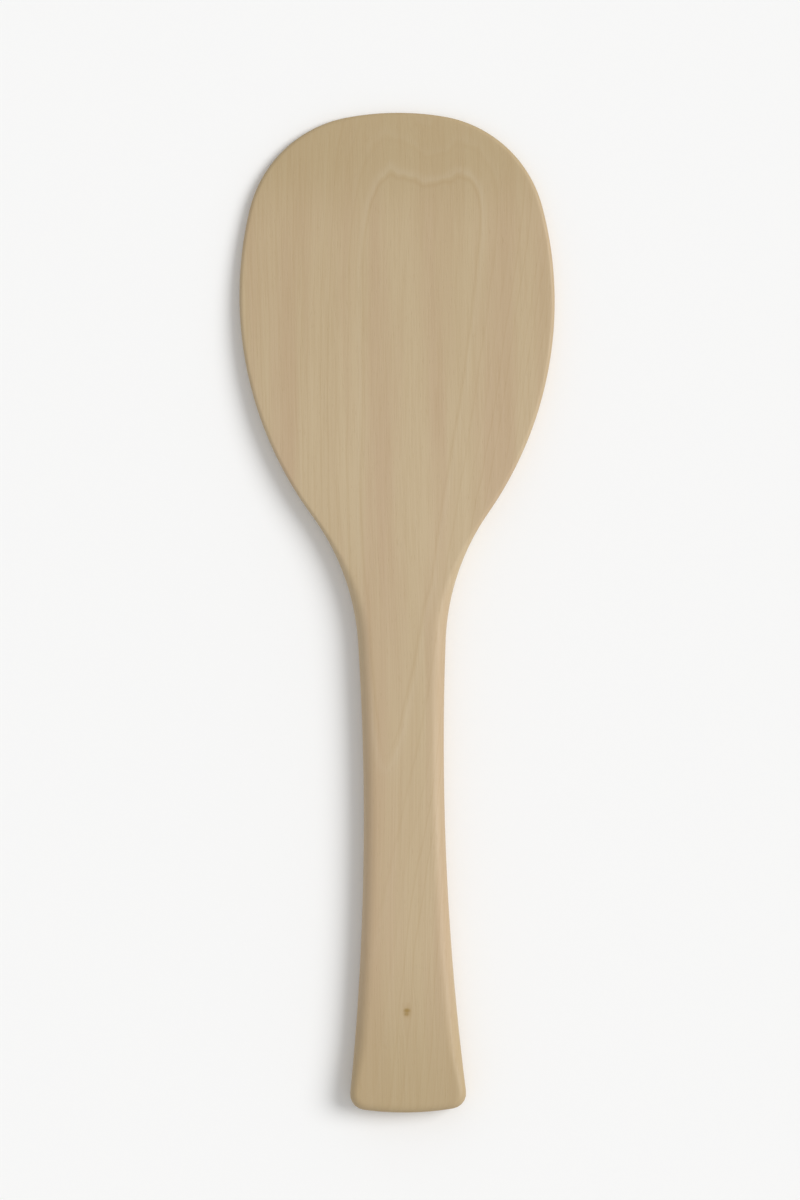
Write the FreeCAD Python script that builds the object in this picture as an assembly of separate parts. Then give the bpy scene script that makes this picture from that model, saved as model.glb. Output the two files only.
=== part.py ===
import FreeCAD, Part
import math
import os
from FreeCAD import Vector

# A flat wooden rice paddle, sawn from one board, planed thinner towards its tip and rounded along its rim.
# It lies on its back: X across, Y from the handle's end to the blade's tip, Z up from the flat back.
# The origin is in the middle of the back.

# Driving dimensions, in millimetres

# Blade, seen from the front
overall_length = 390.0       # from the handle's end to the blade's tip
blade_width = 123.0          # across the blade's widest line
crown_height = 72.6          # from the widest line up to the tip
cheek_radius = 144.5         # long sides of the blade
tip_radius = 108.0           # flatter arc across the tip
tip_arc_width = 38.0         # how far across that arc reaches, before the rounder shoulders

# Handle, seen from the front
neck_radius = 93.0           # hollow where the blade runs into the handle
waist_width = 31.4           # across the handle where it is slimmest
waist_height = 129.0         # from the handle's end up to that place
end_flare = 7.5              # spread of each side from the waist down to the end
end_bulge = 2.4              # rise of the rounded end below its corners
end_corner_radius = 6.0      # corners of the end

# Board, seen from the side
handle_thickness = 12.0      # the whole handle
tip_thickness = 4.2          # the front at the tip, before the rim is rounded
thinning_radius = 500.0      # bend at the neck from the level handle to the sloping blade

# Rounding of the rim, front and back
blade_edge_radius = 1.6      # round the thin blade
handle_edge_radius = 5.2     # along the sides of the handle
end_edge_radius = 3.2        # across the handle's end and round its corners
full_rounding_height = 30.0  # from the handle's end up to where the handle's rounding is full
wall_limit_share = 0.45      # most of the board's thickness that one rounding may take
corner_limit_share = 0.9     # most of a corner's radius that the rounding there may take

# Working values
level_share = 0.5            # a face that looks up or down by more than this is no side wall, and an edge
                             # that rises by more than this is upright
overrun = 10.0               # how far a cutting shape runs past what it cuts

# Places along the paddle
tip_y = overall_length / 2
end_y = -tip_y
widest_y = tip_y - crown_height
waist_y = end_y + waist_height
corner_y = end_y + end_bulge
full_rounding_y = end_y + full_rounding_height


def arc_edge(centre, start, finish):
    """The shorter arc about a centre, from one point to another."""
    out_to_start = start - centre
    out_to_middle = (out_to_start + finish - centre).normalize() * out_to_start.Length
    return Part.Arc(start, centre + out_to_middle, finish).toShape()


def point_towards(centre, target, distance):
    """The point at a distance from the centre, on the line to the target."""
    return centre + (target - centre).normalize() * distance


def crossing_below(centre, reach, other_centre, other_reach):
    """Where two circles cross, on the right-hand side of the way from the first centre to the other."""
    apart = other_centre - centre
    along = (reach ** 2 - other_reach ** 2 + apart.Length ** 2) / (2 * apart.Length)
    aside = math.sqrt(reach ** 2 - along ** 2)
    ahead = Vector(apart).normalize()
    return centre + ahead * along + Vector(ahead.y, -ahead.x, 0) * aside


# Right half of the outline: arcs that meet at tangents.
# The handle's hollow side is one long arc about the waist, the cheek is an arc about the widest line and the
# tip an arc about the centre line. The neck touches side and cheek, and the shoulder touches cheek and tip.
flare_run = waist_height - end_bulge
side_radius = (flare_run ** 2 + end_flare ** 2) / (2 * end_flare)
side_centre = Vector(waist_width / 2 + side_radius, waist_y, 0)
cheek_centre = Vector(blade_width / 2 - cheek_radius, widest_y, 0)
tip_centre = Vector(0, tip_y - tip_radius, 0)

corner = Vector(waist_width / 2 + end_flare, corner_y, 0)
full_rounding_x = side_centre.x - math.sqrt(side_radius ** 2 - (full_rounding_y - waist_y) ** 2)
full_rounding = Vector(full_rounding_x, full_rounding_y, 0)

neck_centre = crossing_below(cheek_centre, cheek_radius + neck_radius, side_centre, side_radius - neck_radius)
neck_foot = point_towards(side_centre, neck_centre, side_radius)
neck_top = point_towards(cheek_centre, neck_centre, cheek_radius)

# The shoulder leaves the tip's arc at a known point, and its radius is the one that just reaches the cheek
tip_arc_x = tip_arc_width / 2
shoulder_top = Vector(tip_arc_x, tip_centre.y + math.sqrt(tip_radius ** 2 - tip_arc_x ** 2), 0)
from_cheek = shoulder_top - cheek_centre
outward = (shoulder_top - tip_centre).normalize()
shoulder_radius = (cheek_radius ** 2 - from_cheek.Length ** 2) / (2 * (cheek_radius - from_cheek.dot(outward)))
shoulder_centre = point_towards(shoulder_top, tip_centre, shoulder_radius)
shoulder_foot = point_towards(cheek_centre, shoulder_centre, cheek_radius)


def outline_face():
    """The outline that the board is sawn to, with its corners at the end still sharp."""
    right = [
        arc_edge(side_centre, corner, full_rounding),
        arc_edge(side_centre, full_rounding, neck_foot),
        arc_edge(neck_centre, neck_foot, neck_top),
        arc_edge(cheek_centre, neck_top, shoulder_foot),
        arc_edge(shoulder_centre, shoulder_foot, shoulder_top),
    ]
    left = [edge.mirror(Vector(0, 0, 0), Vector(1, 0, 0)) for edge in reversed(right)]
    left_corner = Vector(-corner.x, corner.y, 0)
    tip = arc_edge(tip_centre, shoulder_top, Vector(-shoulder_top.x, shoulder_top.y, 0))
    end = Part.Arc(left_corner, Vector(0, end_y, 0), corner).toShape()
    return Part.Face(Part.Wire(right + [tip] + left + [end]))


def sawn_board():
    """The outline sawn out of a thick board, with the two corners of the end rounded."""
    board = outline_face().extrude(Vector(0, 0, handle_thickness + overrun))
    uprights = [edge for edge in board.Edges if abs(edge.tangentAt(edge.FirstParameter).z) > level_share]
    uprights.sort(key=lambda edge: edge.CenterOfMass.y)
    return board.makeFillet(end_corner_radius, uprights[:2])


def planed_space():
    """All that lies under the front: level over the handle, then bent down in a straight slope to the tip."""
    bend_start = Vector(0, neck_foot.y, handle_thickness)
    bend_centre = bend_start - Vector(0, 0, thinning_radius)
    tip = Vector(0, tip_y, tip_thickness)
    to_tip = tip - bend_centre
    lean = math.atan2(to_tip.z, to_tip.y) + math.acos(thinning_radius / to_tip.Length)
    bend_end = bend_centre + Vector(0, math.cos(lean), math.sin(lean)) * thinning_radius

    past_end = Vector(0, end_y - overrun, handle_thickness)
    past_tip = point_towards(tip, tip + tip - bend_end, overrun)
    low_tip = Vector(0, past_tip.y, -overrun)
    low_end = Vector(0, past_end.y, -overrun)
    profile = Part.Wire([
        Part.makeLine(past_end, bend_start),
        arc_edge(bend_centre, bend_start, bend_end),
        Part.makeLine(bend_end, past_tip),
        Part.makeLine(past_tip, low_tip),
        Part.makeLine(low_tip, low_end),
        Part.makeLine(low_end, past_end),
    ])
    half_span = blade_width / 2 + overrun
    space = Part.Face(profile).extrude(Vector(2 * half_span, 0, 0))
    space.translate(Vector(-half_span, 0, 0))
    return space


def edge_radius(place):
    """Rounding of the rim at one place: full along the handle, less at its end and round the thin blade."""
    handle_radius = min(handle_edge_radius, wall_limit_share * handle_thickness)
    blade_radius = min(blade_edge_radius, wall_limit_share * tip_thickness)
    end_radius = min(end_edge_radius, handle_radius, corner_limit_share * end_corner_radius)
    if place.y < full_rounding.y - full_rounding_height / 2:
        return end_radius
    up_share = (place.y - neck_foot.y) / (neck_top.y - neck_foot.y)
    up_share = min(max(up_share, 0), 1)
    return handle_radius + (blade_radius - handle_radius) * up_share


def rise(face):
    """How far the middle of a face looks up: 1 for a level front, 0 for a side wall, -1 for the back."""
    u_low, u_high, v_low, v_high = face.ParameterRange
    return face.normalAt((u_low + u_high) / 2, (v_low + v_high) / 2).z


def walked_ends(edge):
    """The two ends of an edge of the rim, in the order of a walk round the board, up its right side."""
    ends = [edge.valueAt(edge.FirstParameter), edge.valueAt(edge.LastParameter)]
    on_right = ends[0].x + ends[1].x > 0
    goes_up = ends[1].y > ends[0].y
    return ends if goes_up == on_right else ends[::-1]


def rounded_rim(board, facing):
    """The board with one rim rounded, by a radius that changes along it: facing is 1 or -1 as in rise."""
    rim = []
    for number, edge in enumerate(board.Edges, 1):
        rises = [rise(face) * facing for face in board.ancestorsOfType(edge, Part.Face)]
        if max(rises) > level_share and abs(min(rises)) < level_share:
            rim.append((number, edge))

    # The radii are read along the first edge's own direction, so an edge on a side of the blade leads
    rim.sort(key=lambda item: abs(item[1].CenterOfMass.x), reverse=True)
    leader = rim[0][1]
    with_walk = walked_ends(leader)[0] == leader.valueAt(leader.FirstParameter)
    radii = []
    for number, edge in rim:
        ends = walked_ends(edge) if with_walk else walked_ends(edge)[::-1]
        radii.append((number, edge_radius(ends[0]), edge_radius(ends[1])))

    document = FreeCAD.newDocument()
    blank = document.addObject("Part::Feature", "blank")
    blank.Shape = board
    rounding = document.addObject("Part::Fillet", "rounding")
    rounding.Base = blank
    rounding.Edges = radii
    document.recompute()
    return rounding.Shape.Solids[0]


planed_board = sawn_board().common(planed_space()).Solids[0]
paddle = rounded_rim(rounded_rim(planed_board, -1), 1)

os.makedirs("parts", exist_ok=True)
paddle.exportStep("parts/paddle.step")
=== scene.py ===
import math
from collections import namedtuple

import bmesh
import bpy
from bpy.props import FloatProperty, FloatVectorProperty, IntProperty, PointerProperty
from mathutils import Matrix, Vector


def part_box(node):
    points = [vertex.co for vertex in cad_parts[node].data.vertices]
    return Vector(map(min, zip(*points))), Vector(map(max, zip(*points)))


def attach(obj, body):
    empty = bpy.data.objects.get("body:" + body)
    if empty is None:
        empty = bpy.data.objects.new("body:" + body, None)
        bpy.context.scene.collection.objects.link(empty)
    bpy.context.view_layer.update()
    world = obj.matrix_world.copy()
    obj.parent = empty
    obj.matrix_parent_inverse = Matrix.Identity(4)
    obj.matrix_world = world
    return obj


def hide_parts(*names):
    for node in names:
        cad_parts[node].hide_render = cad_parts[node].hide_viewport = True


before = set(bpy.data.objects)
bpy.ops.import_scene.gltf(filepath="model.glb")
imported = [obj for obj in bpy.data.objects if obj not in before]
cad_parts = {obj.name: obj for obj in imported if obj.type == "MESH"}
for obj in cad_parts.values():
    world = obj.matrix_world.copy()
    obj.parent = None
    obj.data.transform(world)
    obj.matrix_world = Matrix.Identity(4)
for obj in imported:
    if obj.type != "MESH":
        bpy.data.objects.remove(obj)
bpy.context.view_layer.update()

bl_info = {
    "name": "Rice Paddle",
    "version": (1, 0, 0),
    "blender": (4, 5, 0),
    "location": "View3D > Sidebar > Rice Paddle",
    "description": "Shapes a flat wooden rice paddle, finishes it in bare wood and sets it on a plain stage",
    "category": "Add Mesh",
}

# The paddle lies on its flat back: X across, Y from the handle's end to the blade's tip, Z up, in metres.
paddle_low, paddle_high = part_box("paddle")
end_y = paddle_low.y
tip_y = paddle_high.y
up_axis = Vector((0, 0, 1))
millimetres = 1000.0  # in a metre


class PaddleShape(bpy.types.PropertyGroup):
    """Sizes of the paddle, apart from its length, width and thickness, which come from the paddle part in
    model.glb.
    """

    crown_height: FloatProperty(
        name="Crown height", description="From the widest line of the blade up to its tip",
        default=0.0726, unit="LENGTH")
    cheek_radius: FloatProperty(
        name="Cheek radius", description="Long sides of the blade",
        default=0.1445, unit="LENGTH")
    tip_radius: FloatProperty(
        name="Tip radius", description="Flatter arc across the tip",
        default=0.108, unit="LENGTH")
    tip_arc_width: FloatProperty(
        name="Tip arc width", description="How far across the tip's arc reaches",
        default=0.038, unit="LENGTH")
    neck_radius: FloatProperty(
        name="Neck radius", description="Hollow where the blade runs into the handle",
        default=0.093, unit="LENGTH")
    waist_width: FloatProperty(
        name="Waist width", description="Across the handle where it is slimmest",
        default=0.0314, unit="LENGTH")
    waist_height: FloatProperty(
        name="Waist height", description="From the handle's end up to its slimmest place",
        default=0.129, unit="LENGTH")
    end_flare: FloatProperty(
        name="End flare", description="Spread of each side from the waist to the end",
        default=0.0075, unit="LENGTH")
    end_bulge: FloatProperty(
        name="End bulge", description="Rise of the rounded end below its corners",
        default=0.0024, unit="LENGTH")
    end_corner_radius: FloatProperty(
        name="End corner radius", description="Corners of the handle's end",
        default=0.006, unit="LENGTH")
    tip_thickness: FloatProperty(
        name="Tip thickness", description="Thickness of the blade at its tip",
        default=0.0042, unit="LENGTH")
    thinning_radius: FloatProperty(
        name="Thinning radius", description="Bend at the neck from the level handle to the sloping blade",
        default=0.5, unit="LENGTH")
    blade_edge_radius: FloatProperty(
        name="Blade edge radius", description="Rounding of the blade's rim",
        default=0.0016, unit="LENGTH")
    handle_edge_radius: FloatProperty(
        name="Handle edge radius", description="Rounding along the handle's sides",
        default=0.0052, unit="LENGTH")
    end_edge_radius: FloatProperty(
        name="End edge radius", description="Rounding across the handle's end",
        default=0.0032, unit="LENGTH")
    full_rounding_height: FloatProperty(
        name="Full rounding height", description="From the handle's end up to where its rounding is full",
        default=0.03, unit="LENGTH")
    blade_crown: FloatProperty(
        name="Blade crown", description="How much lower the blade's front is at its rim than in its middle",
        default=0.0006, unit="LENGTH")
    handle_crown: FloatProperty(
        name="Handle crown",
        description="How much lower the handle's front is at its rim than in its middle",
        default=0.0001, unit="LENGTH")
    step_length: FloatProperty(
        name="Step length", description="Spacing of the vertices along the outline",
        default=0.002, unit="LENGTH")
    rounding_steps: IntProperty(
        name="Rounding steps", description="Faces across each rounded edge",
        default=8, min=2)
    inner_steps: IntProperty(
        name="Inner steps", description="Faces from the rim to the middle of the board",
        default=20, min=2)


class WoodFinish(bpy.types.PropertyGroup):
    """Colours and grain of the bare wood, and painted shade towards both ends. Sizes of the grain are in
    millimetres.
    """

    pale_wood: FloatVectorProperty(
        name="Pale wood", description="Early wood, most of the surface",
        subtype="COLOR", default=(0.530, 0.414, 0.256))
    pink_wood: FloatVectorProperty(
        name="Pink wood", description="Warmer stripes among the pale wood",
        subtype="COLOR", default=(0.506, 0.375, 0.235))
    ring_brown: FloatVectorProperty(
        name="Ring brown", description="Thin late wood at the end of each year's ring",
        subtype="COLOR", default=(0.37, 0.245, 0.11))
    # Painted shade: the colour that darkens the board towards both ends
    painted_end_shade: FloatVectorProperty(
        name="Painted end shade", description="Painted shade, darker towards both ends",
        subtype="COLOR", default=(0.43, 0.325, 0.175))
    early_wood: FloatVectorProperty(
        name="Early wood", description="Pale band that each year's ring starts with",
        subtype="COLOR", default=(1.0, 1.0, 0.9))
    knot_brown: FloatVectorProperty(
        name="Knot brown", description="Pin knot",
        subtype="COLOR", default=(0.30, 0.19, 0.05))
    figure_place: FloatVectorProperty(
        name="Figure place",
        description="Middle of the oval that the front cuts from a ring in millimetres",
        size=2, default=(2.7, 55.0))
    figure_size: FloatVectorProperty(
        name="Figure size", description="Half the oval's width and length in millimetres",
        size=2, default=(17.7, 114.0))
    figure_taper: FloatProperty(
        name="Figure taper",
        description="Growth of half the oval's width for each millimetre to the tip",
        default=0.077, subtype="FACTOR")
    figure_squareness: FloatVectorProperty(
        name="Figure squareness",
        description="Of the oval's lower and upper end: 2 is round, and more is flatter",
        size=2, default=(2.0, 6.0))
    figure_lean: FloatProperty(
        name="Figure lean", description="Lean of the oval to the right, towards the tip",
        default=0.09, subtype="FACTOR")
    side_spacing: FloatProperty(
        name="Side spacing",
        description="Space between the oval and the next ring beside it in millimetres",
        default=7.0)
    tip_spacing: FloatProperty(
        name="Tip spacing", description="Space between rings above the oval in millimetres",
        default=13.0)
    handle_spacing: FloatProperty(
        name="Handle spacing", description="Space between rings below the oval in millimetres",
        default=75.0)
    ring_crowding: FloatProperty(
        name="Ring crowding",
        description="Further rings to each millimetre, for each millimetre beside the oval",
        default=0.0066)
    knot_place: FloatVectorProperty(
        name="Knot place", description="Middle of the pin knot on the handle in millimetres",
        size=2, default=(0.1, -155.5))
    knot_size: FloatVectorProperty(
        name="Knot size", description="Half the width and length of the knot with its halo in millimetres",
        size=2, default=(3.2, 4.5))
    knot_bend_size: FloatVectorProperty(
        name="Knot bend size",
        description="How far aside and ahead the grain bends round the knot in millimetres",
        size=2, default=(5.0, 14.0))
    knot_bend: FloatProperty(
        name="Knot bend", description="How much the grain bends round the knot",
        default=0.5, subtype="FACTOR")
    halo_strength: FloatProperty(
        name="Halo strength", description="Browner wood round the knot",
        default=0.28, subtype="FACTOR")
    early_strength: FloatProperty(
        name="Early wood strength", description="How much the pale bands show",
        default=0.04, subtype="FACTOR")
    end_grain_strength: FloatProperty(
        name="End grain strength", description="How much browner the end grain is",
        default=0.22, subtype="FACTOR")
    end_grain_roughness: FloatProperty(
        name="End grain roughness", description="How much rougher the end grain is",
        default=0.1, subtype="FACTOR")
    roughness: FloatVectorProperty(
        name="Roughness", description="Of the smoothest and the roughest fibres",
        size=2, default=(0.52, 0.62))
    pore_depth: FloatProperty(
        name="Pore depth", description="Depth of the fibres and pores",
        default=0.00012, unit="LENGTH", precision=6)


class StudioStage(bpy.types.PropertyGroup):
    """Floor, lamps and camera."""

    floor_colour: FloatVectorProperty(
        name="Floor colour", description="Plain pale floor",
        subtype="COLOR", default=(0.93, 0.93, 0.925))
    floor_roughness: FloatProperty(
        name="Floor roughness", description="Matt paint of the floor",
        default=0.9, subtype="FACTOR")
    floor_reach: FloatProperty(
        name="Floor reach", description="From the middle of the floor to each of its sides",
        default=6.0, unit="LENGTH")
    backdrop_strength: FloatProperty(
        name="Backdrop strength", description="Brightness of the backdrop, where 1 is white",
        default=0.95, subtype="FACTOR")
    frame_height: FloatProperty(
        name="Frame height", description="Height of the picture, half way up the board",
        default=0.468, unit="LENGTH")
    camera_height: FloatProperty(
        name="Camera height", description="Height of the camera above the floor",
        default=2.6, unit="LENGTH")
    camera_roll: FloatProperty(
        name="Camera roll", description="Turn of the picture about the line of sight",
        default=math.radians(-0.8), subtype="ANGLE")
    picture_aside: FloatProperty(
        name="Picture aside", description="Middle of the picture, to the right of the paddle's middle",
        default=-0.0005, unit="LENGTH")
    picture_above: FloatProperty(
        name="Picture above", description="Middle of the picture, above the paddle's middle",
        default=0.0047, unit="LENGTH")
    key_direction: FloatVectorProperty(
        name="Key direction", description="Way from the paddle to the key lamp",
        default=(1.0, 0.25, 1.0), subtype="XYZ")
    key_share: FloatProperty(
        name="Key share", description="Share of the light on a level surface that comes from the key lamp",
        default=0.44, subtype="FACTOR")
    key_spread: FloatProperty(
        name="Key spread", description="Width of the key lamp as seen from the paddle",
        default=math.radians(35), subtype="ANGLE")


# Outline

Arc = namedtuple("Arc", "centre start finish spine_start spine_finish")
Outline = namedtuple("Outline", "end corner side neck cheek shoulder tip")
Station = namedtuple("Station", "point inward spine radius crown")

shoulder_fan_share = 1 / 3  # of the tip's fan, by which the spine stays behind the foot of the shoulder


def towards(centre, target, distance):
    """The point at a distance from the centre, on the line to the target."""
    return centre + (target - centre).normalized() * distance


def crossing(centre, reach, other_centre, other_reach):
    """Where two circles cross, on the right-hand side of the way from the first centre to the other."""
    apart = other_centre - centre
    along = (reach ** 2 - other_reach ** 2 + apart.length_squared) / (2 * apart.length)
    aside = math.sqrt(reach ** 2 - along ** 2)
    ahead = apart.normalized()
    return centre + ahead * along + Vector((ahead.y, -ahead.x, 0)) * aside


def half_outline(shape):
    """Arcs of the right half of the outline, from the middle of the handle's end to the middle of the tip.
    Each arc also has its stretch of the spine, the middle line that the faces of the board run to."""
    half_waist = shape.waist_width / 2
    waist_y = end_y + shape.waist_height
    flare_run = shape.waist_height - shape.end_bulge
    side_radius = (flare_run ** 2 + shape.end_flare ** 2) / (2 * shape.end_flare)
    side_centre = Vector((half_waist + side_radius, waist_y, 0))
    cheek_centre = Vector((paddle_high.x - shape.cheek_radius, tip_y - shape.crown_height, 0))
    tip_centre = Vector((0, tip_y - shape.tip_radius, 0))

    # Handle's end: a shallow arc between the corners, which are rounded where it meets the sides
    half_end = half_waist + shape.end_flare
    end_radius = (half_end ** 2 + shape.end_bulge ** 2) / (2 * shape.end_bulge)
    end_centre = Vector((0, end_y + end_radius, 0))
    corner_radius = shape.end_corner_radius
    corner_centre = crossing(
        end_centre, end_radius - corner_radius, side_centre, side_radius + corner_radius)
    corner_start = towards(end_centre, corner_centre, end_radius)
    corner_finish = towards(side_centre, corner_centre, side_radius)

    # Neck: touches the handle's side and the blade's cheek
    neck_centre = crossing(
        cheek_centre, shape.cheek_radius + shape.neck_radius, side_centre, side_radius - shape.neck_radius)
    neck_foot = towards(side_centre, neck_centre, side_radius)
    neck_top = towards(cheek_centre, neck_centre, shape.cheek_radius)

    # Shoulder: leaves the tip's arc at a known point, and its radius is the one that just reaches the cheek
    tip_arc_x = shape.tip_arc_width / 2
    shoulder_top = Vector((tip_arc_x, tip_centre.y + math.sqrt(shape.tip_radius ** 2 - tip_arc_x ** 2), 0))
    from_cheek = shoulder_top - cheek_centre
    outward = (shoulder_top - tip_centre).normalized()
    spare = shape.cheek_radius ** 2 - from_cheek.length_squared
    shoulder_radius = spare / (2 * (shape.cheek_radius - from_cheek.dot(outward)))
    shoulder_centre = towards(shoulder_top, tip_centre, shoulder_radius)
    shoulder_foot = towards(cheek_centre, shoulder_centre, shape.cheek_radius)

    # The spine stops short of the end and the tip, where the faces fan out from one point
    end_fan = half_end
    tip_fan = shape.tip_arc_width
    centres = [
        end_centre, corner_centre, side_centre, neck_centre, cheek_centre, shoulder_centre, tip_centre,
    ]
    places = [
        (Vector((0, end_y, 0)), end_y + end_fan),
        (corner_start, end_y + end_fan),
        (corner_finish, end_y + end_fan + corner_radius),
        (neck_foot, neck_foot.y),
        (neck_top, neck_top.y),
        (shoulder_foot, shoulder_foot.y - tip_fan * shoulder_fan_share),
        (shoulder_top, tip_y - tip_fan),
        (Vector((0, tip_y, 0)), tip_y - tip_fan),
    ]
    arcs = [
        Arc(centre, start, finish, spine_start, spine_finish)
        for centre, (start, spine_start), (finish, spine_finish) in zip(centres, places, places[1:])
    ]
    return Outline(*arcs)


def eased(low, high, value):
    """0 below the low value and 1 above the high one, with a smooth way between."""
    share = min(max((value - low) / (high - low), 0), 1)
    return share * share * (3 - 2 * share)


def front_height(shape, neck_foot_y, y):
    """Height of the middle of the front: level over the handle, then bent down to a straight slope."""
    if y <= neck_foot_y:
        return paddle_high.z
    bend = shape.thinning_radius
    centre_z = paddle_high.z - bend
    to_tip = Vector((tip_y - neck_foot_y, shape.tip_thickness - centre_z))
    lean = math.atan2(to_tip.y, to_tip.x) + math.acos(bend / to_tip.length)
    bend_finish_y = neck_foot_y + math.cos(lean) * bend
    if y <= bend_finish_y:
        return centre_z + math.sqrt(bend ** 2 - (y - neck_foot_y) ** 2)
    return shape.tip_thickness + (tip_y - y) / math.tan(lean)


# Board

least_steps = 2      # along a short arc
merge_share = 0.001  # of the step length: vertices that lie nearer than this are one


def station_at(shape, outline, arc, point, share):
    """What is known of a point of the outline, at a share of the way along its arc."""
    inward = (arc.centre - point).normalized()
    hollow = arc.centre.x > max(arc.start.x, arc.finish.x)
    if hollow:
        inward = -inward
    up_handle = eased(outline.corner.finish.y, end_y + shape.full_rounding_height, point.y)
    up_neck = eased(outline.neck.start.y, outline.neck.finish.y, point.y)
    radius = shape.end_edge_radius + (shape.handle_edge_radius - shape.end_edge_radius) * up_handle
    radius += (shape.blade_edge_radius - radius) * up_neck
    crown = shape.handle_crown + (shape.blade_crown - shape.handle_crown) * up_neck
    spine_y = arc.spine_start + (arc.spine_finish - arc.spine_start) * share
    return Station(point, inward, Vector((0, spine_y, 0)), radius, crown)


def spun_outline(bm, shape, outline, station_number):
    """Spins a vertex along the arcs, and returns the edges and the station of each vertex."""
    last = bm.verts.new(outline.end.start)
    last[station_number] = 0
    stations = [station_at(shape, outline, outline.end, last.co.copy(), 0)]
    for arc in outline:
        out_start, out_finish = arc.start - arc.centre, arc.finish - arc.centre
        sweep = out_start.to_2d().angle_signed(out_finish.to_2d())
        steps = max(least_steps, math.ceil(abs(sweep) * out_start.length / shape.step_length))
        made = bmesh.ops.spin(
            bm, geom=[last], cent=arc.centre, axis=up_axis, angle=-sweep, steps=steps, dvec=Vector(),
            use_duplicate=False)
        last = made["geom_last"][0]
        spun = list(bm.verts)[len(stations):]
        for count, vert in enumerate(spun, 1):
            vert[station_number] = len(stations)
            stations.append(station_at(shape, outline, arc, vert.co.copy(), count / steps))
    return list(bm.edges), stations


def extruded(bm, edges, place):
    """Extrudes a row of edges, moves its vertices to their places and returns the new row."""
    made = bmesh.ops.extrude_edge_only(bm, edges=edges)["geom"]
    verts = {item for item in made if isinstance(item, bmesh.types.BMVert)}
    for vert in verts:
        vert.co = place(vert)
    return [
        item for item in made
        if isinstance(item, bmesh.types.BMEdge) and item.verts[0] in verts and item.verts[1] in verts
    ]


def put_in_order(bm):
    """Sorts the faces by their vertices, since extruding leaves them in an order that differs each run."""
    bm.verts.index_update()
    vertex_count = len(bm.verts)

    def rank(face):
        """By the lowest vertex, and then by the highest."""
        numbers = [vert.index for vert in face.verts]
        return min(numbers) * vertex_count + max(numbers)

    bm.faces.sort(key=rank)


def paddle_mesh(shape):
    """The whole board: half its outline spun, extruded round both rims to the middle, and mirrored."""
    bm = bmesh.new()
    station_number = bm.verts.layers.int.new("station")
    outline = half_outline(shape)
    neck_foot_y = outline.neck.start.y
    wall_foot, stations = spun_outline(bm, shape, outline, station_number)

    def from_above(station, turn, inner):
        """A place seen from above. Turn goes from 0 on the wall to a right angle, where the rounding ends.
        Inner goes from 0 there to 1 on the spine."""
        rounded = station.point + station.inward * station.radius * (1 - math.cos(turn))
        return rounded.lerp(station.spine, inner)

    def on_front(vert, turn, inner):
        """The place on the front, which is crowned."""
        station = stations[vert[station_number]]
        flat = from_above(station, turn, inner)
        height = front_height(shape, neck_foot_y, flat.y) - station.crown * (1 - inner) ** 2
        return Vector((flat.x, flat.y, height - station.radius * (1 - math.sin(turn))))

    def on_back(vert, turn, inner):
        """The place on the back, which is flat."""
        station = stations[vert[station_number]]
        flat = from_above(station, turn, inner)
        return Vector((flat.x, flat.y, station.radius * (1 - math.sin(turn))))

    right_angle = math.pi / 2
    for vert in bm.verts:
        vert.co = on_back(vert, 0, 0)
    wall_top = extruded(bm, wall_foot, lambda vert: on_front(vert, 0, 0))
    for row, on_face in ((wall_top, on_front), (wall_foot, on_back)):
        for step in range(1, shape.rounding_steps + 1):
            turn = right_angle * step / shape.rounding_steps
            row = extruded(bm, row, lambda vert: on_face(vert, turn, 0))
        for step in range(1, shape.inner_steps + 1):
            inner = step / shape.inner_steps
            row = extruded(bm, row, lambda vert: on_face(vert, right_angle, inner))

    merge_reach = shape.step_length * merge_share
    whole = bm.verts[:] + bm.edges[:] + bm.faces[:]
    bmesh.ops.mirror(bm, geom=whole, axis="X", merge_dist=merge_reach)
    bmesh.ops.remove_doubles(bm, verts=bm.verts, dist=merge_reach)
    bmesh.ops.recalc_face_normals(bm, faces=bm.faces)
    for face in bm.faces:
        face.smooth = True
    put_in_order(bm)
    bm.verts.layers.int.remove(station_number)
    mesh = bpy.data.meshes.new("paddle_board")
    bm.to_mesh(mesh)
    bm.free()
    return mesh


# Nodes

Pattern = namedtuple("Pattern", "swells shift detail roughness faint full strength")
Waver = namedtuple("Waver", "swells shift detail reach")

noise_middle = 0.5  # noise runs from 0 to 1


def with_alpha(colour):
    """A colour with full alpha, as the nodes take it."""
    return (*colour, 1.0)


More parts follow.
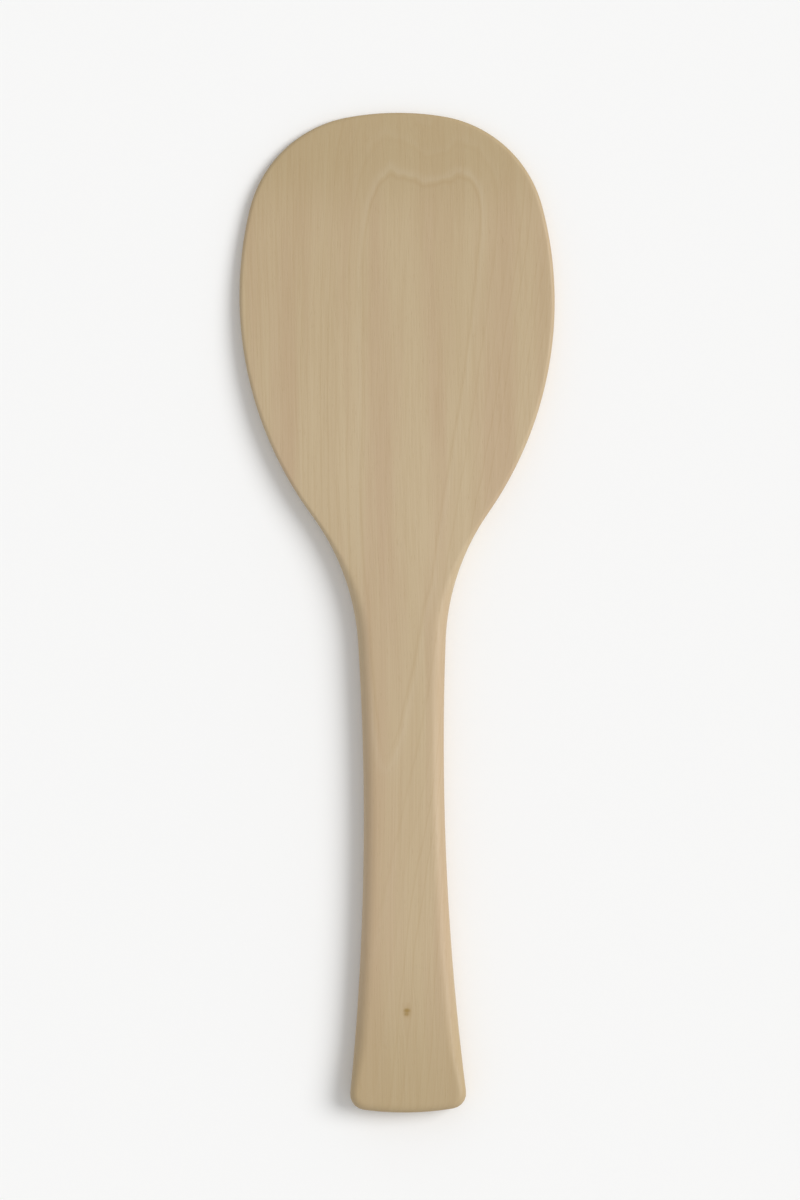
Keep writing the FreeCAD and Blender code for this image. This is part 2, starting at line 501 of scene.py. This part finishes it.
class ShaderNodes:
    """Short ways to add nodes to one tree of shader nodes."""

    def __init__(self, tree):
        self.tree = tree

    def add(self, kind, values=(), **settings):
        """A node with its settings, and values or links for its inputs by name or number."""
        node = self.tree.nodes.new(kind)
        for name, setting in settings.items():
            setattr(node, name, setting)
        for name, value in dict(values).items():
            if isinstance(value, bpy.types.NodeSocket):
                self.tree.links.new(value, node.inputs[name])
            else:
                node.inputs[name].default_value = value
        return node

    def math(self, operation, *values):
        """The result of an operation on numbers and sockets."""
        return self.add("ShaderNodeMath", enumerate(values), operation=operation).outputs[0]

    def noise(self, place, swells, shift, detail, roughness=0.5):
        """Noise from 0 to 1, with so many swells to each unit along each axis."""
        mapping = {"Vector": place, "Scale": swells, "Location": shift}
        place = self.add("ShaderNodeMapping", mapping).outputs[0]
        values = {"Vector": place, "Scale": 1.0, "Detail": detail, "Roughness": roughness}
        return self.add("ShaderNodeTexNoise", values, noise_dimensions="3D").outputs[0]

    def spread(self, value, low, high, new_low=0.0, new_high=1.0):
        """A value moved smoothly from one range to another, and held at its ends."""
        values = {"Value": value, "From Min": low, "From Max": high, "To Min": new_low, "To Max": new_high}
        return self.add("ShaderNodeMapRange", values, interpolation_type="SMOOTHSTEP").outputs[0]

    def shown(self, place, pattern):
        """How strongly a pattern shows at a place."""
        noise = self.noise(place, pattern.swells, pattern.shift, pattern.detail, pattern.roughness)
        return self.spread(noise, pattern.faint, pattern.full, 0.0, pattern.strength)

    def wavering(self, place, waver):
        """How far a line wavers at a place, to either side."""
        noise = self.noise(place, waver.swells, waver.shift, waver.detail)
        return self.math("MULTIPLY", self.math("SUBTRACT", noise, noise_middle), waver.reach)

    def distance(self, aside, ahead, half_size):
        """The distance from the middle of an ellipse, which is 1 on the ellipse."""
        sides = (self.math("DIVIDE", aside, half_size[0]), self.math("DIVIDE", ahead, half_size[1]))
        squares = [self.math("MULTIPLY", side, side) for side in sides]
        return self.math("SQRT", self.math("ADD", *squares))

    def tint(self, share, colour, other):
        """A colour turned into another by a share. The node's sockets for colours go by number."""
        return self.add("ShaderNodeMix", {0: share, 6: colour, 7: other}, data_type="RGBA").outputs[2]


# Bare wood

Spot = namedtuple("Spot", "shift half_size strength")

# Swells to a millimetre across, along and through the board, a shift to another stretch of the same noise,
# the noise's detail and roughness, the values at which it begins to show and shows in full, and how strongly
blush = Pattern((0.07, 0.003, 0.07), (1.3, 5.2, 0.0), 3.0, 0.6, 0.4, 0.65, 1.0)
stripes = Pattern((0.2, 0.003, 0.2), (0.0, 0.0, 0.0), 4.0, 0.6, 0.3, 0.75, 0.13)
streaks = Pattern((1.1, 0.014, 1.1), (0.0, 0.0, 0.0), 3.0, 0.65, 0.35, 0.75, 0.16)
pores = Pattern((4.0, 0.22, 4.0), (0.0, 0.0, 0.0), 1.0, 0.5, 0.62, 0.8, 0.24)
flecks = Pattern((1.3, 0.3, 1.3), (7.7, 2.3, 0.0), 0.0, 0.5, 0.74, 0.84, 0.12)

# Swells, shift and detail as above, and the whole width of the wavering in millimetres
sway = Waver((0.012, 0.006, 0.012), (3.1, 0.4, 0.0), 1.0, 9.0)
wave = Waver((0.0323, 0.012, 0.0), (-0.087, 0.6, 0.0), 3.0, 40.0)
quiver = Waver((0.12, 0.018, 0.12), (0.0, 0.0, 0.0), 2.0, 3.0)

# Spots of the pin knot: their way aside and ahead of its middle and half their size in millimetres, and how
# dark they are. A spot begins to fade and ends at these shares of its half size.
spot_fade_shares = (0.3, 1.4)
knot_spots = (
    Spot((-0.1, -0.2), (1.6, 2.0), 0.25),
    Spot((-0.1, 0.4), (1.3, 0.9), 0.9),
    Spot((-0.3, -1.0), (1.0, 0.7), 0.7),
)

# Stretches along the board in millimetres over which painted shade darkens the wood, and by which share
painted_shade_stretches = ((40.0, 140.0, 0.28), (145.0, 180.0, 0.75), (-120.0, -195.0, 0.75))

# One ring, in shares of the way out through it: its early wood is palest and ends, then its late wood begins
# and is darkest
early_peak_share = 0.08
early_end_share = 0.5
late_start_share = 0.74
late_peak_share = 0.92

# In a wide ring they fade sooner: millimetres at which they are still full, and at which nothing is left
early_fade = (1.5, 6.0)         # past the start of the ring
line_fade = (0.8, 3.5)          # before the end of the ring

# How strongly they show
line_strengths = (0.06, 0.18)   # faintest and strongest line of late wood
end_line_share = 0.5            # left to a line where it crosses the grain
oval_line_extras = (0.08, 0.2)  # added to the line round the oval, beside it and at its ends
early_side_share = 0.5          # left to the early wood beside the oval
later_early_share = 0.3         # left to the early wood of all rings but the first outside the oval

# Rings are counted outwards from the oval, which is 0, and numbered by the whole count
last_ring_inside = -1.0
first_ring_outside = 0.0
half_ring = 0.5                 # numbers less than this apart are the same
innermost = -0.5                # the count stays at this over the middle of the oval
least_half_width = 6.0          # of the tapered oval, in millimetres

# Turn of a surface towards the end of the fibres at which end grain begins and is full, as a sine
end_grain_turn = (0.45, 0.95)


def knot_fields(wood, finish, across, along):
    """How brown the wood round the pin knot is, how dark each of its spots, and how far the grain bends."""
    aside = wood.math("SUBTRACT", across, finish.knot_place[0])
    ahead = wood.math("SUBTRACT", along, finish.knot_place[1])
    halo = wood.spread(wood.distance(aside, ahead, finish.knot_size), 0.0, 1.0, finish.halo_strength, 0.0)
    spots = []
    for spot in knot_spots:
        ways = (wood.math("SUBTRACT", way, shift) for way, shift in zip((aside, ahead), spot.shift))
        from_spot = wood.distance(*ways, spot.half_size)
        spots.append(wood.spread(from_spot, *spot_fade_shares, spot.strength, 0.0))
    bend = wood.spread(wood.distance(aside, ahead, finish.knot_bend_size), 0.0, 1.0, finish.knot_bend, 0.0)
    return halo, spots, wood.math("MULTIPLY", aside, bend)


def below_front(wood, shape, along, up):
    """Depth of a place below the front, which is level over the handle and slopes down the blade."""
    neck_foot_y = half_outline(shape).neck.start.y
    widest_y = tip_y - shape.crown_height
    fall = (front_height(shape, neck_foot_y, widest_y) - shape.tip_thickness) / shape.crown_height
    slope_start = tip_y - (paddle_high.z - shape.tip_thickness) / fall
    down_slope = wood.math("SUBTRACT", along, slope_start * millimetres)
    down_slope = wood.math("MULTIPLY", wood.math("MAXIMUM", down_slope, 0.0), fall)
    return wood.math("SUBTRACT", wood.math("SUBTRACT", paddle_high.z * millimetres, up), down_slope)


def oval_fields(wood, finish, place, across, along, depth):
    """How many rings a place lies outside the oval that the front cuts from one ring, how many rings there
    are to a millimetre, and the share of the way out that goes to the oval's ends. At depth the oval is
    smaller."""
    squareness = wood.spread(along, 0.0, finish.figure_place[1], *finish.figure_squareness)
    half_length = finish.figure_size[1]
    past_middle = wood.math("SUBTRACT", along, finish.figure_place[1])
    widening = wood.math("MULTIPLY", past_middle, finish.figure_taper)
    half_width = wood.math("ADD", widening, finish.figure_size[0])
    half_width = wood.math("MAXIMUM", half_width, least_half_width)
    leaning = wood.math("MULTIPLY", past_middle, finish.figure_lean)
    middle = wood.math("ADD", leaning, finish.figure_place[0])
    aside = wood.math("ADD", wood.math("SUBTRACT", across, middle), wood.wavering(place, quiver))
    ahead = wood.math("ADD", past_middle, wood.wavering(place, wave))
    ahead = wood.math("ADD", ahead, wood.math("MULTIPLY", aside, finish.figure_lean))

    # How far out a place is, in ovals, and how much of that way goes aside and ahead
    aside = wood.math("POWER", wood.math("DIVIDE", wood.math("ABSOLUTE", aside), half_width), squareness)
    ahead = wood.math("POWER", wood.math("DIVIDE", wood.math("ABSOLUTE", ahead), half_length), squareness)
    both = wood.math("ADD", aside, ahead)
    ovals = wood.math("POWER", both, wood.math("DIVIDE", 1.0, squareness))
    to_side = wood.math("DIVIDE", aside, both)
    to_end = wood.math("DIVIDE", ahead, both)

    def shared(beside, beyond):
        """What holds beside the oval and beyond its ends, each by its share."""
        both_parts = wood.math("MULTIPLY", to_side, beside), wood.math("MULTIPLY", to_end, beyond)
        return wood.math("ADD", *both_parts)

    # Rings to a millimetre, which get closer together to the sides, and the rings of the whole way out
    further = wood.math("SUBTRACT", ovals, 1.0)
    beside = wood.math("MAXIMUM", wood.math("MULTIPLY", further, half_width), 0.0)
    beside = wood.math("ADD", wood.math("MULTIPLY", beside, finish.ring_crowding), 1 / finish.side_spacing)
    end_rings = (1 / finish.handle_spacing, 1 / finish.tip_spacing)
    beyond = wood.spread(along, 0.0, finish.figure_place[1], *end_rings)
    rings_each = shared(beside, beyond)
    rings = shared(wood.math("MULTIPLY", beside, half_width), wood.math("MULTIPLY", beyond, half_length))
    rings = wood.math("ADD", wood.math("MULTIPLY", further, rings), wood.math("MULTIPLY", depth, rings_each))
    return wood.math("MAXIMUM", rings, innermost), rings_each, to_end


def ring_figure(wood, finish, place, across, along, depth):
    """Late wood, which ends each year's ring in a thin dark line, and the pale early wood that follows."""
    rings, rings_each, to_end = oval_fields(wood, finish, place, across, along, depth)
    number = wood.math("FLOOR", rings)
    through = wood.math("FRACT", rings)
    since_line = wood.math("DIVIDE", through, rings_each)
    to_line = wood.math("DIVIDE", wood.math("SUBTRACT", 1.0, through), rings_each)

    late = wood.spread(through, late_start_share, late_peak_share)
    late = wood.math("MULTIPLY", late, wood.spread(to_line, *line_fade, 1.0, 0.0))
    late = wood.math("MULTIPLY", late, wood.spread(through, late_peak_share, 1.0, 1.0, 0.0))
    early = wood.spread(through, 0.0, early_peak_share)
    early = wood.math("MULTIPLY", early, wood.spread(through, early_peak_share, early_end_share, 1.0, 0.0))
    early = wood.math("MULTIPLY", early, wood.spread(since_line, *early_fade, 1.0, 0.0))

    # Years differ, and the line round the oval, which ends the last ring inside it, is the strongest
    year = wood.add("ShaderNodeTexWhiteNoise", {"W": number}, noise_dimensions="1D").outputs["Value"]
    line = wood.spread(year, 0.0, 1.0, *line_strengths)
    line = wood.math("MULTIPLY", line, wood.spread(to_end, 0.0, 1.0, 1.0, end_line_share))
    last_inside = wood.math("COMPARE", number, last_ring_inside, half_ring)
    extra = wood.spread(to_end, 0.0, 1.0, *oval_line_extras)
    line = wood.math("ADD", line, wood.math("MULTIPLY", last_inside, extra))
    first_outside = wood.math("COMPARE", number, first_ring_outside, half_ring)
    band = wood.spread(first_outside, 0.0, 1.0, later_early_share, 1.0)
    band = wood.math("MULTIPLY", band, wood.spread(to_end, 0.0, 1.0, early_side_share, 1.0))
    return wood.math("MULTIPLY", late, line), wood.math("MULTIPLY", early, band)


def end_grain_field(wood):
    """1 where the surface looks along the fibres, and 0 where it looks across them."""
    facing = wood.add("ShaderNodeNewGeometry").outputs["Normal"]
    facing = wood.add("ShaderNodeSeparateXYZ", {"Vector": facing}).outputs["Y"]
    return wood.spread(wood.math("ABSOLUTE", facing), *end_grain_turn)


def bare_wood(finish, shape):
    """Flat-sawn pale wood: year rings cut by the board, fibres, pores and one pin knot."""
    material = bpy.data.materials.new("bare_wood")
    material.use_nodes = True
    material.node_tree.nodes.clear()
    wood = ShaderNodes(material.node_tree)

    # Places in millimetres, with the fibres swayed and bent round the knot
    place = wood.add("ShaderNodeTexCoord").outputs["Object"]
    place = wood.add("ShaderNodeVectorMath", {0: place, "Scale": millimetres}, operation="SCALE").outputs[0]
    across, along, up = wood.add("ShaderNodeSeparateXYZ", {"Vector": place}).outputs
    halo, spots, bend = knot_fields(wood, finish, across, along)
    across = wood.math("ADD", wood.math("SUBTRACT", across, bend), wood.wavering(place, sway))
    grain = wood.add("ShaderNodeCombineXYZ", {"X": across, "Y": along, "Z": up}).outputs[0]
    late, early = ring_figure(wood, finish, place, across, along, below_front(wood, shape, along, up))
    streak = wood.shown(grain, streaks)
    pore = wood.shown(grain, pores)
    end_grain = end_grain_field(wood)

    # Pale wood with warmer stripes, darkened towards both ends by painted shade
    colour = wood.tint(wood.shown(grain, blush), with_alpha(finish.pale_wood), with_alpha(finish.pink_wood))
    # Painted shade: each stretch darkens the wood towards one end of the board
    for start, full, share in painted_shade_stretches:
        painted_darkening = wood.spread(along, start, full, 0.0, share)
        colour = wood.tint(painted_darkening, colour, with_alpha(finish.painted_end_shade))
    pale_band = wood.math("MULTIPLY", early, finish.early_strength)
    colour = wood.tint(pale_band, colour, with_alpha(finish.early_wood))

    # Brown in the rings, fibres, pores and flecks, round the knot and on the end grain
    end_tone = wood.math("MULTIPLY", end_grain, finish.end_grain_strength)
    for share in (wood.shown(grain, stripes), late, streak, pore, wood.shown(grain, flecks), halo, end_tone):
        colour = wood.tint(share, colour, with_alpha(finish.ring_brown))
    for share in spots:
        colour = wood.tint(share, colour, with_alpha(finish.knot_brown))

    # Sanded smooth, with the fibres and pores just to be felt
    roughness = wood.spread(streak, 0.0, streaks.strength, *finish.roughness)
    roughness = wood.math("ADD", roughness, wood.math("MULTIPLY", end_grain, finish.end_grain_roughness))
    height = wood.math("SUBTRACT", 1.0, wood.math("ADD", streak, pore))
    relief = {"Height": height, "Strength": 1.0, "Distance": finish.pore_depth}
    normal = wood.add("ShaderNodeBump", relief).outputs[0]
    surface = {"Base Color": colour, "Roughness": roughness, "Normal": normal}
    shader = wood.add("ShaderNodeBsdfPrincipled", surface).outputs[0]
    wood.add("ShaderNodeOutputMaterial", {"Surface": shader})
    return material


class RICE_PADDLE_OT_shape_paddle(bpy.types.Operator):
    """Shape the paddle from one board and finish it in bare wood"""

    bl_idname = "rice_paddle.shape_paddle"
    bl_label = "Shape Paddle"

    def execute(self, context):
        mesh = paddle_mesh(context.scene.paddle_shape)
        board = bpy.data.objects.new("paddle_board", mesh)
        context.scene.collection.objects.link(board)
        mesh.materials.append(bare_wood(context.scene.wood_finish, context.scene.paddle_shape))
        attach(board, "root")
        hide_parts("paddle")
        return {"FINISHED"}


# Stage

film_height = 36.0  # of the camera, in millimetres


def pale_floor(stage):
    """A wide level floor in a plain matt colour."""
    bm = bmesh.new()
    bmesh.ops.create_grid(bm, x_segments=1, y_segments=1, size=stage.floor_reach)
    mesh = bpy.data.meshes.new("floor")
    bm.to_mesh(mesh)
    bm.free()
    floor = bpy.data.objects.new("floor", mesh)
    material = bpy.data.materials.new("floor_paint")
    material.use_nodes = True
    shader = material.node_tree.nodes["Principled BSDF"]
    shader.inputs["Base Color"].default_value = with_alpha(stage.floor_colour)
    shader.inputs["Roughness"].default_value = stage.floor_roughness
    mesh.materials.append(material)
    return floor


def soft_world(stage):
    """Even pale light from all round, with a pale backdrop where the camera looks past the floor."""
    world = bpy.data.worlds.new("soft_world")
    world.use_nodes = True
    world.node_tree.nodes.clear()
    sky = ShaderNodes(world.node_tree)
    rays = sky.add("ShaderNodeLightPath").outputs
    seen = rays["Is Camera Ray"]
    for kind in ("Is Glossy Ray", "Is Transmission Ray"):
        seen = sky.math("MAXIMUM", seen, rays[kind])
    strength = sky.spread(seen, 0.0, 1.0, 1 - stage.key_share, stage.backdrop_strength)
    white = with_alpha((1.0, 1.0, 1.0))
    light = sky.add("ShaderNodeBackground", {"Color": white, "Strength": strength}).outputs[0]
    sky.add("ShaderNodeOutputWorld", {"Surface": light})
    return world


def key_lamp(stage):
    """Soft light from the right, wide and far off, whose shadows fall to the left."""
    direction = Vector(stage.key_direction).normalized()
    data = bpy.data.lights.new("key_lamp", "SUN")
    data.angle = stage.key_spread
    # A sun of strength pi, straight above, lights white paint to 1
    data.energy = stage.key_share * math.pi / direction.z
    lamp = bpy.data.objects.new("key_lamp", data)
    lamp.location = direction
    lamp.rotation_euler = direction.to_track_quat("Z", "Y").to_euler()
    return lamp


def overhead_camera(stage):
    """A camera that looks straight down."""
    data = bpy.data.cameras.new("overhead_camera")
    data.sensor_fit = "VERTICAL"
    data.sensor_height = film_height
    to_board = stage.camera_height - paddle_high.z / 2
    data.lens = film_height * to_board / stage.frame_height
    camera = bpy.data.objects.new("overhead_camera", data)
    camera.location = (stage.picture_aside, stage.picture_above, stage.camera_height)
    camera.rotation_euler = (0, 0, stage.camera_roll)
    return camera


class RICE_PADDLE_OT_set_stage(bpy.types.Operator):
    """Set up the floor, lamps and camera"""

    bl_idname = "rice_paddle.set_stage"
    bl_label = "Set Stage"

    def execute(self, context):
        scene = context.scene
        stage = scene.studio_stage
        floor = pale_floor(stage)
        camera = overhead_camera(stage)
        for item in (floor, camera, key_lamp(stage)):
            scene.collection.objects.link(item)
        scene.camera = camera
        scene.world = soft_world(stage)
        scene.view_settings.view_transform = "Standard"
        return {"FINISHED"}


class RICE_PADDLE_PT_panel(bpy.types.Panel):
    """Sizes, finish and stage of the rice paddle"""

    bl_idname = "RICE_PADDLE_PT_panel"
    bl_label = "Rice Paddle"
    bl_space_type = "VIEW_3D"
    bl_region_type = "UI"
    bl_category = "Rice Paddle"

    def draw(self, context):
        layout = self.layout
        groups = (context.scene.paddle_shape, context.scene.wood_finish, context.scene.studio_stage)
        for group in groups:
            box = layout.box()
            for name in group.__annotations__:
                box.prop(group, name)
        layout.operator("rice_paddle.shape_paddle")
        layout.operator("rice_paddle.set_stage")


classes = (
    PaddleShape,
    WoodFinish,
    StudioStage,
    RICE_PADDLE_OT_shape_paddle,
    RICE_PADDLE_OT_set_stage,
    RICE_PADDLE_PT_panel,
)


def register():
    for cls in classes:
        bpy.utils.register_class(cls)
    bpy.types.Scene.paddle_shape = PointerProperty(type=PaddleShape)
    bpy.types.Scene.wood_finish = PointerProperty(type=WoodFinish)
    bpy.types.Scene.studio_stage = PointerProperty(type=StudioStage)


def unregister():
    del bpy.types.Scene.studio_stage
    del bpy.types.Scene.wood_finish
    del bpy.types.Scene.paddle_shape
    for cls in reversed(classes):
        bpy.utils.unregister_class(cls)


def main():
    register()
    bpy.ops.rice_paddle.shape_paddle()
    bpy.ops.rice_paddle.set_stage()


if __name__ == "__main__":
    main()
